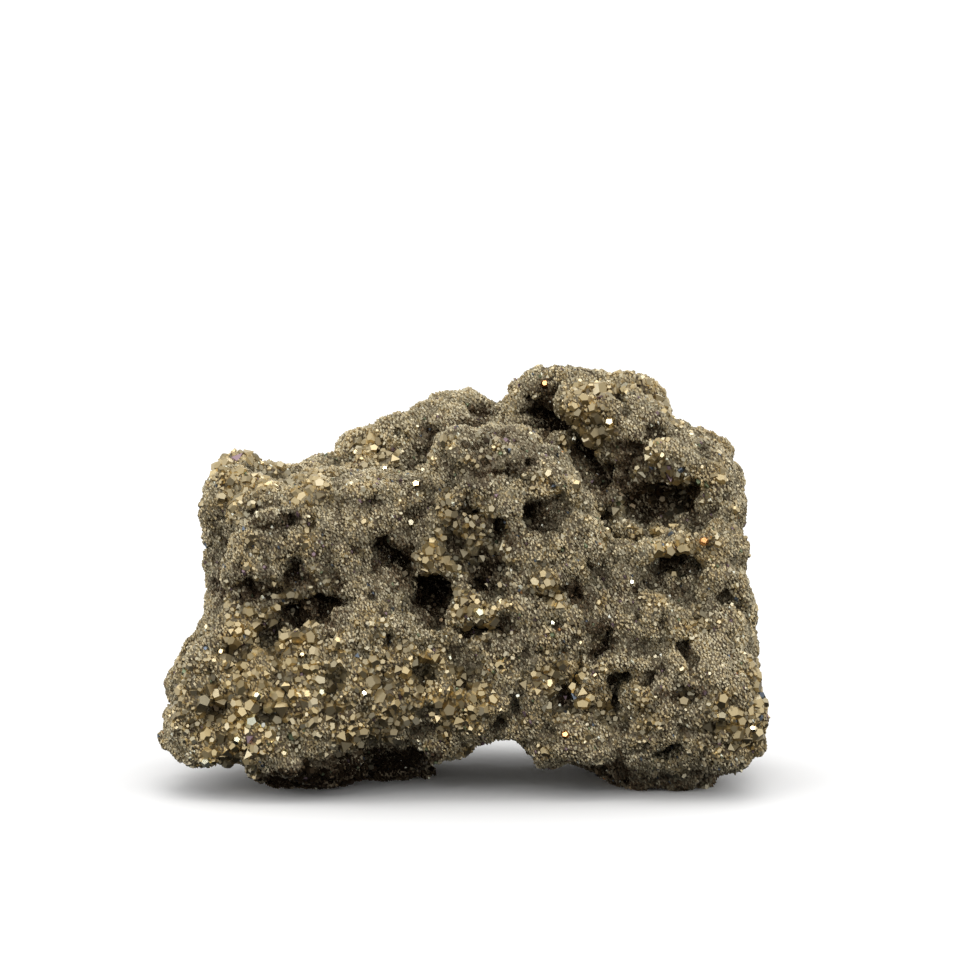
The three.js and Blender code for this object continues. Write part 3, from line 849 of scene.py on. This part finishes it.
# %% [markdown]
# ## The few that stand out
# A few small crystals are bare bright metal, and a few of any size carry a film thick
# enough to shine in colour. Small crystals then sit with their middle a little above
# the ground, and large ones are sunk in, so that they do not stick out like pebbles.

# %% Bare and filmed crystals, and how deep each sits
BARE_SHARE = 0.007
FILMED_SHARE = 0.015
BARE_HUE, BARE_VALUE = 0.90, 0.95
FILM_HUES = (0.94, 0.96, 0.98, 1.00)
FILM_CHANCES = (0.03, 0.42, 0.30, 0.25)
SMALL_LIFT = 0.06
LARGE_SINK = 0.30

special = rng.random(count)
bare = (special < BARE_SHARE) & ~large
filmed = special > 1 - FILMED_SHARE
film = rng.choice(FILM_HUES, size=count, p=FILM_CHANCES)
hue = np.where(bare, BARE_HUE, np.where(filmed, film, hue))
value = np.where(bare, BARE_VALUE, value)
lift = SMALL_LIFT * sizes - LARGE_SINK * np.maximum(sizes - LARGE_SIZE, 0)
places = places + normals * lift[:, None]
print(int(bare.sum()), "bare crystals and", int(filmed.sum()), "filmed ones")

# %% [markdown]
# ## Sorting the crystals into pieces
# Most large crystals are the five-cornered kind, a quarter are octahedra and a few are
# cubes. The small ones are octahedra with some cubes among them. Each kind becomes one
# piece, and the sugary crust is split across the lump to keep its pieces light.

# %% Make the crystal pieces
FRONT_PARTS = 5
REAR_PARTS = 3
PYRITOHEDRA_SHARE = 0.74
OCTAHEDRA_SHARE = 0.24
SMALL_CUBE_SHARE = 0.12
# lean, drawing out and unevenness
COARSE_STANCE = (0.45, 0.0, 0.3)
FINE_STANCE = (0.50, 0.65, 0.2)


def from_left_to_right(chosen, parts):
    """Splits the chosen crystals into equal groups, in order across the lump."""
    order = np.flatnonzero(chosen)
    return np.array_split(order[np.argsort(places[order, 0])], parts)


form = rng.random(count)
rear = places[:, 1] > place((0, 0.5, 0))[1]
fine = ~large & (form >= SMALL_CUBE_SHARE)
five_cornered = form < PYRITOHEDRA_SHARE
cubic = form >= PYRITOHEDRA_SHARE + OCTAHEDRA_SHARE
groups = {
    "coarse_pyritohedra": ("pyritohedron", np.flatnonzero(large & five_cornered)),
    "coarse_octahedra": ("octahedron", np.flatnonzero(large & ~five_cornered & ~cubic)),
    "coarse_cubes": ("cube", np.flatnonzero(large & cubic)),
    "small_cubes": ("cube", np.flatnonzero(~large & ~fine)),
}
for step, part in enumerate(from_left_to_right(fine & ~rear, FRONT_PARTS), 1):
    groups[f"fine_druse_front_{step}"] = ("octahedron", part)
for step, part in enumerate(from_left_to_right(fine & rear, REAR_PARTS), 1):
    groups[f"fine_druse_rear_{step}"] = ("octahedron", part)

crystals = {}
for group_name, (shape, part) in groups.items():
    stance = COARSE_STANCE if group_name.startswith("coarse") else FINE_STANCE
    crystals[group_name] = crystal_field(
        group_name, shape, places[part], normals[part], sizes[part],
        hue[part], value[part], *stance,
    )
    print(group_name, len(part), "crystals,", len(crystals[group_name].data.polygons), "faces")

# %% [markdown]
# ## Glints
# Here and there a face stands just so that it mirrors a lamp to the viewer, and it
# flashes. On the front the brightest of these have their own places. Each is a bare
# crystal whose face halves the angle between the viewer and the front lamp.

# %% Set the glints
# share across, share upwards, size mm, place on the row of colours
GLINTS = {
    "summit": (0.744, 0.885, 1.2, 0.84),
    "summit_orange": (0.639, 0.970, 0.9, 0.94),
    "valley_edge": (0.687, 0.835, 0.8, 0.90),
    "ridge_foot": (0.418, 0.656, 1.0, 0.87),
    "crest_right": (0.426, 0.743, 1.1, 0.83),
    "heart_lower": (0.530, 0.453, 1.2, 0.89),
    "heart_right": (0.564, 0.478, 0.9, 0.82),
    "centre": (0.647, 0.426, 0.7, 0.90),
    "toe_bright": (0.164, 0.194, 1.6, 0.90),
    "toe_beside": (0.182, 0.186, 0.8, 0.90),
    "toe_low": (0.140, 0.151, 1.0, 0.87),
    "toe_edge": (0.087, 0.092, 1.1, 0.88),
    "toe_foot": (0.144, 0.093, 0.9, 0.90),
    "toe_high": (0.172, 0.258, 0.9, 0.88),
    "belly_left": (0.244, 0.352, 0.7, 0.84),
    "belly_middle": (0.277, 0.266, 0.9, 0.88),
    "belly_right": (0.345, 0.266, 0.8, 0.88),
    "belly_low": (0.216, 0.122, 0.8, 0.86),
    "lobe": (0.341, 0.853, 0.8, 0.84),
    "lobe_foot": (0.317, 0.787, 0.8, 0.84),
    "apron_orange": (0.667, 0.164, 0.9, 0.94),
    "ledge_orange": (0.893, 0.614, 1.0, 0.94),
    "right_edge": (0.970, 0.175, 0.8, 0.84),
    "right_speck": (0.776, 0.519, 0.6, 0.90),
    "seam_speck": (0.591, 0.253, 0.6, 0.90),
    "middle_speck": (0.482, 0.340, 0.6, 0.90),
    "wall": (0.111, 0.352, 0.8, 0.84),
}
GLINT_VALUE = 0.90
GLINT_LIFT = 0.35
GLINT_STANCE = (0.03, 0.0, 0.0)
CAMERA_RISE = math.radians(5.0)
FRONT_LAMP = Vector((-0.15, -1.1, 0.75))

to_viewer = Vector((0, -math.cos(CAMERA_RISE), math.sin(CAMERA_RISE)))
body_surface = BVHTree.FromObject(body, bpy.context.evaluated_depsgraph_get())
glint_places = []
glint_facing = []
for across, up, size, _ in GLINTS.values():
    start = Vector(place((across, -1.0, up)))
    spot = body_surface.ray_cast(start, Vector((0, 1, 0)))[0]
    if spot is None:
        spot = body_surface.find_nearest(Vector(place((across, 0.45, up))))[0]
    glint_places.append(spot + to_viewer * (GLINT_LIFT * size * MM))
    glint_facing.append((to_viewer + (FRONT_LAMP - spot).normalized()).normalized())
glint_sizes = np.array([size * MM for _, _, size, _ in GLINTS.values()])
glint_hue = np.array([where for _, _, _, where in GLINTS.values()])
crystals["glints"] = crystal_field(
    "glints", "pyritohedron", np.array(glint_places), np.array(glint_facing), glint_sizes,
    glint_hue, np.full(len(GLINTS), GLINT_VALUE), *GLINT_STANCE,
)
print(len(GLINTS), "glints set")

# %% [markdown]
# ## Pyrite as a material
# Pyrite is a metal to the eye: it has no colour under its gloss, only the tint of what
# it mirrors. So the shader is fully metallic. The row of colours runs from tarnish
# brown through olive and brass to bright metal, with the film colours at its end.

# %% The crystal material
FILM_ROW = (
    (0.00, (0.090, 0.058, 0.036)),
    (0.18, (0.220, 0.158, 0.092)),
    (0.40, (0.560, 0.505, 0.360)),
    (0.60, (0.520, 0.425, 0.255)),
    (0.80, (0.560, 0.445, 0.240)),
    (0.90, (0.900, 0.830, 0.640)),
    (0.94, (0.560, 0.280, 0.100)),
    (0.96, (0.260, 0.185, 0.215)),
    (0.98, (0.160, 0.190, 0.235)),
    (1.00, (0.240, 0.280, 0.170)),
)
BRIGHTNESS = {"To Min": 0.25, "To Max": 1.40}


def node(tree, kind, at, inputs=(), **settings):
    """A new shader node at a place on the sheet, with its inputs and settings."""
    made = tree.nodes.new(kind)
    made.location = at
    for key, setting in settings.items():
        setattr(made, key, setting)
    for key, amount in dict(inputs).items():
        made.inputs[key].default_value = amount
    return made


def between(low, high):
    """The two ends of a Map Range node."""
    return {"To Min": low, "To Max": high}


def colour_row(tree, at, stops):
    """A colour ramp with the given places and colours."""
    ramp = node(tree, "ShaderNodeValToRGB", at)
    elements = ramp.color_ramp.elements
    while len(elements) < len(stops):
        elements.new(0.5)
    for element, (where, colour) in zip(elements, stops):
        element.position = where
        element.color = (*colour, 1)
    return ramp


def metal_sheet(name):
    """A material with a metallic shader, ready for its own nodes."""
    material = bpy.data.materials.new(name)
    material.use_nodes = True
    tree = material.node_tree
    shader = tree.nodes["Principled BSDF"]
    shader.inputs["Metallic"].default_value = 1.0
    return material, tree, shader


def crystal_material(name, roughness, bump_size, bump_height):
    """Colour and gloss from the two finish numbers, and growth lines as a fine bump."""
    material, tree, shader = metal_sheet(name)
    link = tree.links.new
    finish = node(tree, "ShaderNodeVertexColor", (-900, 0), layer_name="finish")
    parts = node(tree, "ShaderNodeSeparateColor", (-700, 0))
    link(finish.outputs["Color"], parts.inputs["Color"])

    row = colour_row(tree, (-480, 200), FILM_ROW)
    link(parts.outputs["Red"], row.inputs["Fac"])
    bright = node(tree, "ShaderNodeMapRange", (-480, -40), BRIGHTNESS)
    link(parts.outputs["Green"], bright.inputs["Value"])
    shade = node(tree, "ShaderNodeVectorMath", (-200, 150), operation="SCALE")
    link(row.outputs["Color"], shade.inputs[0])
    link(bright.outputs["Result"], shade.inputs["Scale"])
    link(shade.outputs["Vector"], shader.inputs["Base Color"])

    gloss = node(tree, "ShaderNodeMapRange", (-480, -280), roughness)
    link(parts.outputs["Green"], gloss.inputs["Value"])
    link(gloss.outputs["Result"], shader.inputs["Roughness"])

    where = node(tree, "ShaderNodeTexCoord", (-900, -500))
    grain = node(tree, "ShaderNodeTexNoise", (-700, -500), {"Scale": 1 / bump_size, "Detail": 3})
    link(where.outputs["Object"], grain.inputs["Vector"])
    bump = node(tree, "ShaderNodeBump", (-200, -450), {"Strength": 0.5, "Distance": bump_height})
    link(grain.outputs["Fac"], bump.inputs["Height"])
    link(bump.outputs["Normal"], shader.inputs["Normal"])
    return material


coarse_pyrite = crystal_material("coarse_pyrite", between(0.50, 0.30), 0.35 * MM, 0.008 * MM)
fine_pyrite = crystal_material("fine_pyrite", between(0.70, 0.50), 0.2 * MM, 0.02 * MM)
bare_pyrite = crystal_material("bare_pyrite", between(0.24, 0.14), 0.35 * MM, 0.001 * MM)
print("three crystal materials, with", len(FILM_ROW), "colours in their row")

# %% [markdown]
# ## The body between the crystals
# Between the crystals the crust is a dull mass of grains too small to see. It is the
# same metal, darker and rougher, with cloudy earth colours and a bump of tiny cells.

# %% The material of the body
def body_material():
    """Dark, rough, earthy pyrite with cloudy colour."""
    material, tree, shader = metal_sheet("body_pyrite")
    link = tree.links.new
    where = node(tree, "ShaderNodeTexCoord", (-900, 0))
    clouds = node(tree, "ShaderNodeTexNoise", (-700, 100), {"Scale": 1 / (3 * MM), "Detail": 6})
    link(where.outputs["Object"], clouds.inputs["Vector"])
    row = colour_row(tree, (-450, 100), (
        (0.30, (0.100, 0.072, 0.048)),
        (0.50, (0.210, 0.170, 0.115)),
        (0.70, (0.340, 0.300, 0.210)),
    ))
    link(clouds.outputs["Fac"], row.inputs["Fac"])
    link(row.outputs["Color"], shader.inputs["Base Color"])
    grains = node(tree, "ShaderNodeTexVoronoi", (-700, -300), {"Scale": 1 / (0.35 * MM)})
    link(where.outputs["Object"], grains.inputs["Vector"])
    gloss = node(tree, "ShaderNodeMapRange", (-450, -150), between(0.45, 0.70))
    link(clouds.outputs["Fac"], gloss.inputs["Value"])
    link(gloss.outputs["Result"], shader.inputs["Roughness"])
    bump = node(tree, "ShaderNodeBump", (-200, -300), {"Strength": 1.0, "Distance": 0.12 * MM})
    link(grains.outputs["Distance"], bump.inputs["Height"])
    link(bump.outputs["Normal"], shader.inputs["Normal"])
    return material


# %% [markdown]
# ## A sheet for the body's colours
# A picture of the body's colours needs a flat layout. Each of the six sides of the
# lump's box gets its own field on the sheet, as on a cut-out die.

# %% Lay the body out and hand out the materials
SIDE_MARGIN = 0.02


def lay_out_sides(mesh):
    """Lays the faces on one sheet of six fields, one for each side of the lump's box."""
    count = len(mesh.polygons)
    facing = np.empty(count * 3, np.float32)
    mesh.polygons.foreach_get("normal", facing)
    facing = facing.reshape(-1, 3)
    sides = np.empty(count, np.int32)
    mesh.polygons.foreach_get("loop_total", sides)
    axis = np.abs(facing).argmax(axis=1)
    field = 2 * axis + (facing[np.arange(count), axis] < 0)
    axis = np.repeat(axis, sides)
    field = np.repeat(field, sides)
    corners = np.empty(len(mesh.loops), np.int32)
    mesh.loops.foreach_get("vertex_index", corners)
    shares = (corners_and_normals(mesh)[0][corners] - LOW + MM) / (SPAN.max() + 2 * MM)
    rows = np.arange(len(corners))
    flat = np.stack([shares[rows, (axis + 1) % 3], shares[rows, (axis + 2) % 3]], axis=1)
    flat = SIDE_MARGIN + (1 - 2 * SIDE_MARGIN) * np.clip(flat, 0, 1)
    flat = (flat + np.stack([field % 3, field // 3], axis=1)) / (3, 2)
    mesh.uv_layers.new(name="OFBake").data.foreach_set("uv", flat.astype(np.float32).ravel())


lay_out_sides(body.data)
body.data.materials.clear()
body.data.materials.append(body_material())
for group_name, piece in crystals.items():
    if group_name == "glints":
        piece.data.materials.append(bare_pyrite)
    elif group_name.startswith("coarse"):
        piece.data.materials.append(coarse_pyrite)
    else:
        piece.data.materials.append(fine_pyrite)
print(len(crystals) + 1, "pieces have their material")

# %% [markdown]
# ## The floor
# The stone stands on a plain pale floor. A metal shows what is around it, so the floor
# is kept out of the mirror images, and the undersides stay as dark as they should.

# %% Floor
FLOOR_SIDE = 3.0
floor_mesh = bpy.data.meshes.new("floor")
half = FLOOR_SIDE / 2
floor_mesh.from_pydata(
    [(-half, -half, 0), (half, -half, 0), (half, half, 0), (-half, half, 0)], [], [(0, 1, 2, 3)]
)
floor = bpy.data.objects.new("floor", floor_mesh)
floor.location.z = LOW[2] - 0.02 * MM
put_in_scene(floor)
floor_material = bpy.data.materials.new("pale_floor")
floor_material.use_nodes = True
floor_shader = floor_material.node_tree.nodes["Principled BSDF"]
floor_shader.inputs["Base Color"].default_value = (0.90, 0.90, 0.90, 1)
floor_shader.inputs["Roughness"].default_value = 0.9
floor_shader.inputs["Specular IOR Level"].default_value = 0.0
floor_mesh.materials.append(floor_material)
floor.visible_glossy = False

# %% [markdown]
# ## Lights and room
# A wide soft light hangs overhead, and four small panels give the crystals something
# bright to mirror. The room is plain white to the eye. Seen in the metal it is bright
# above, dim below and a little patchy, because under an even sky crystals look painted.

# %% Lights and room
def softbox(name, at, aim, size, watts):
    """A square soft light that faces a point."""
    lamp = bpy.data.lights.new(name, "AREA")
    lamp.shape = "SQUARE"
    lamp.size = size
    lamp.energy = watts
    holder = bpy.data.objects.new(name, lamp)
    holder.location = at
    holder.rotation_euler = (Vector(aim) - Vector(at)).to_track_quat("-Z", "Y").to_euler()
    put_in_scene(holder)
    return holder


middle = Vector(place((0.5, 0.5, 0.5)))
# place, side in metres, watts
SOFTBOXES = {
    "overhead": ((0.0, 0.1, 1.1), 0.80, 2.80),
    "left_panel": ((-0.7, -0.8, 0.55), 0.14, 0.60),
    "right_panel": ((0.75, -0.7, 0.45), 0.12, 0.45),
    "front_panel": (FRONT_LAMP, 0.14, 0.60),
    "rear_panel": ((0.3, 1.0, 0.6), 0.16, 0.70),
}
for lamp_name, (lamp_at, side, watts) in SOFTBOXES.items():
    softbox(lamp_name, lamp_at, middle, side, watts)

# how bright the room is, from straight down to straight up
ROOM_GLOW = ((0.10, 0.02), (0.34, 0.18), (0.46, 0.76), (0.60, 0.80), (0.85, 0.72))
WHITE = (1.15, 1.15, 1.15, 1)
world = bpy.data.worlds.new("room")
bpy.context.scene.world = world
world.use_nodes = True
tree = world.node_tree
link = tree.links.new
background = tree.nodes["Background"]
direction = node(tree, "ShaderNodeTexCoord", (-1100, 0))
height = node(tree, "ShaderNodeSeparateXYZ", (-900, 0))
link(direction.outputs["Generated"], height.inputs[0])
upward = node(tree, "ShaderNodeMapRange", (-700, 0), {"From Min": -1.0})
link(height.outputs["Z"], upward.inputs["Value"])
glow = colour_row(tree, (-500, 0), [(where, (level, level, level)) for where, level in ROOM_GLOW])
link(upward.outputs["Result"], glow.inputs["Fac"])
patches = node(tree, "ShaderNodeTexNoise", (-900, -300), {"Scale": 2.4, "Detail": 2.0})
link(direction.outputs["Generated"], patches.inputs["Vector"])
patch_reach = {"From Min": 0.36, "From Max": 0.66, "To Min": 0.5, "To Max": 1.55}
contrast = node(tree, "ShaderNodeMapRange", (-700, -300), patch_reach)
contrast.interpolation_type = "SMOOTHSTEP"
link(patches.outputs["Fac"], contrast.inputs["Value"])
room = node(tree, "ShaderNodeVectorMath", (-200, 0), operation="SCALE")
link(glow.outputs["Color"], room.inputs[0])
link(contrast.outputs["Result"], room.inputs["Scale"])
seen = node(tree, "ShaderNodeLightPath", (-300, 300))
mix = node(tree, "ShaderNodeMix", (0, 100), data_type="RGBA")
FACTOR, FIRST, SECOND, RESULT = 0, 6, 7, 2
link(seen.outputs["Is Glossy Ray"], mix.inputs[FACTOR])
mix.inputs[FIRST].default_value = WHITE
link(room.outputs["Vector"], mix.inputs[SECOND])
link(mix.outputs[RESULT], background.inputs["Color"])
bpy.context.scene.view_settings.view_transform = "Standard"
print(len(SOFTBOXES), "lights and the room are set")

# %% [markdown]
# ## The camera
# The camera looks almost level at the front with a long lens, which keeps the outline
# true. It aims above the middle, so that the stone stands low in the picture.

# %% Camera
CAMERA_DISTANCE = 0.42
CAMERA_LENS = 135.5
AIM_SHARES = (0.53, 0.5, 0.733)
aim = Vector(place(AIM_SHARES))
camera_data = bpy.data.cameras.new("camera")
camera_data.lens = CAMERA_LENS
camera_data.clip_end = 20
camera = bpy.data.objects.new("camera", camera_data)
camera.location = aim + CAMERA_DISTANCE * to_viewer
camera.rotation_euler = (aim - camera.location).to_track_quat("-Z", "Y").to_euler()
put_in_scene(camera)
bpy.context.scene.camera = camera
print("the camera stands", CAMERA_DISTANCE, "m away")

# %% [markdown]
# ## Handing the pieces over
# Every piece rides on the one body and takes the place of the plain solid, which is hidden.

# %% Hand the pieces to the frame
for piece in [body, *crystals.values()]:
    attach(piece, "root")
    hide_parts("pyrite_mass")

bpy.context.view_layer.update()
